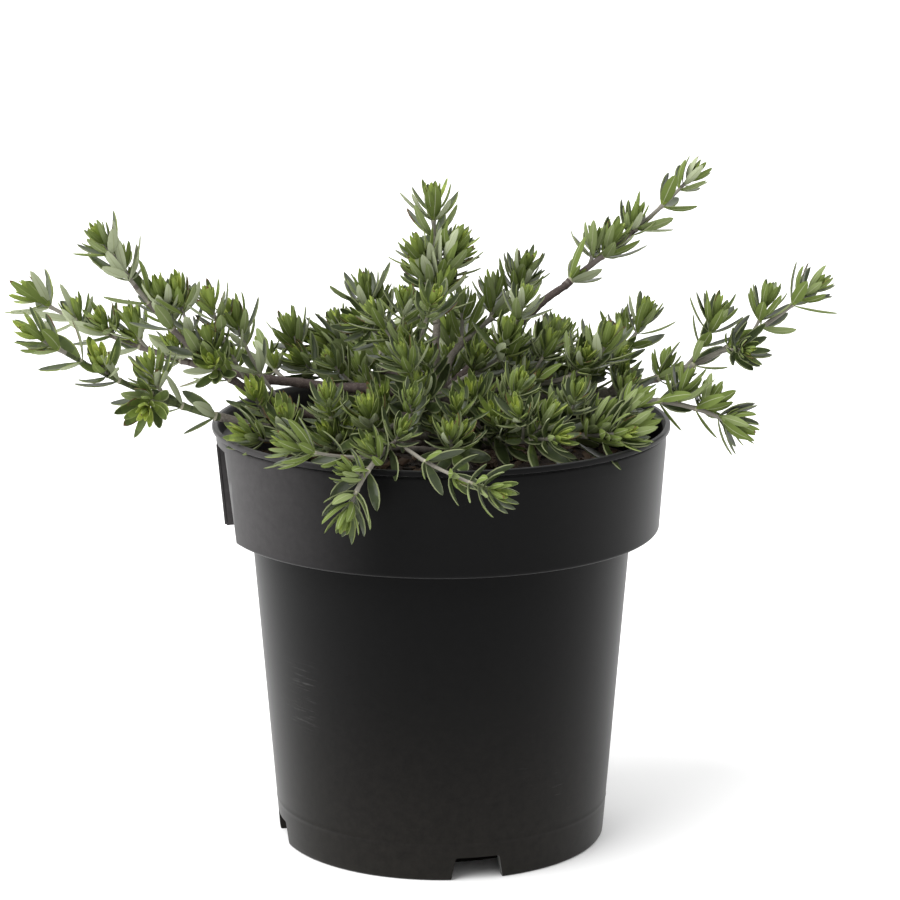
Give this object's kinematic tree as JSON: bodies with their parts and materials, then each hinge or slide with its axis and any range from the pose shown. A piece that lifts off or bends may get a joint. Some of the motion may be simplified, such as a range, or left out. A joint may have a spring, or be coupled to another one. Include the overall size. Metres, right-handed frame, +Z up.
{
  "type": "potted coast rosemary",
  "caption": "Young spreading coast rosemary with whorls of narrow grey-green leaves, growing in a black nursery pot that stands on its flat base.",
  "frame": {"origin": "centre of the flat underside of the pot, on the ground", "axes": "+Z up along the pot's axis; +X to the right and -Y to the front of the plant as it was pictured"},
  "size_m": [0.342, 0.2418, 0.274],
  "materials": {
    "pot_black": "satin black moulded plastic",
    "potting_mix": "dark composted bark",
    "bark": "thin brown bark",
    "foliage": "leathery green leaves with pale undersides"
  },
  "bodies": {
    "root": {"pot": "pot_black", "potting_mix": "potting_mix", "trunk": "bark", "bough_left_high": "bark", "bough_left_middle": "bark", "bough_left_low": "bark", "bough_right_high": "bark", "bough_right_low": "bark", "bough_right_under": "bark", "bough_centre_top": "bark", "bough_front_trailing": "bark", "bough_front_middle": "bark", "bough_left_front": "bark", "bough_front_left": "bark", "bough_front_inner_left": "bark", "bough_front_inner_right": "bark", "bough_front_right": "bark", "bough_right_front": "bark", "bough_right_side": "bark", "bough_left_inner": "bark", "bough_left_inner_back": "bark", "bough_centre_low": "bark", "bough_right_upper": "bark", "bough_right_inner_back": "bark", "bough_right_inner": "bark", "bough_right_back": "bark", "bough_back_left": "bark", "bough_back_middle": "bark", "bough_back_right": "bark", "foliage_left_high": "foliage", "foliage_left_middle": "foliage", "foliage_left_low": "foliage", "foliage_right_high": "foliage", "foliage_right_low": "foliage", "foliage_right_under": "foliage", "foliage_centre_top": "foliage", "foliage_front_trailing": "foliage", "foliage_front_middle": "foliage", "foliage_left_front": "foliage", "foliage_front_left": "foliage", "foliage_front_inner_left": "foliage", "foliage_front_inner_right": "foliage", "foliage_front_right": "foliage", "foliage_right_front": "foliage", "foliage_right_side": "foliage", "foliage_left_inner": "foliage", "foliage_left_inner_back": "foliage", "foliage_left_upper": "foliage", "foliage_centre_front": "foliage", "foliage_centre_low": "foliage", "foliage_right_upper": "foliage", "foliage_right_centre": "foliage", "foliage_right_inner_back": "foliage", "foliage_right_inner": "foliage", "foliage_right_back": "foliage", "foliage_back_left": "foliage", "foliage_back_middle": "foliage", "foliage_back_right": "foliage"}
  },
  "joints": []
}
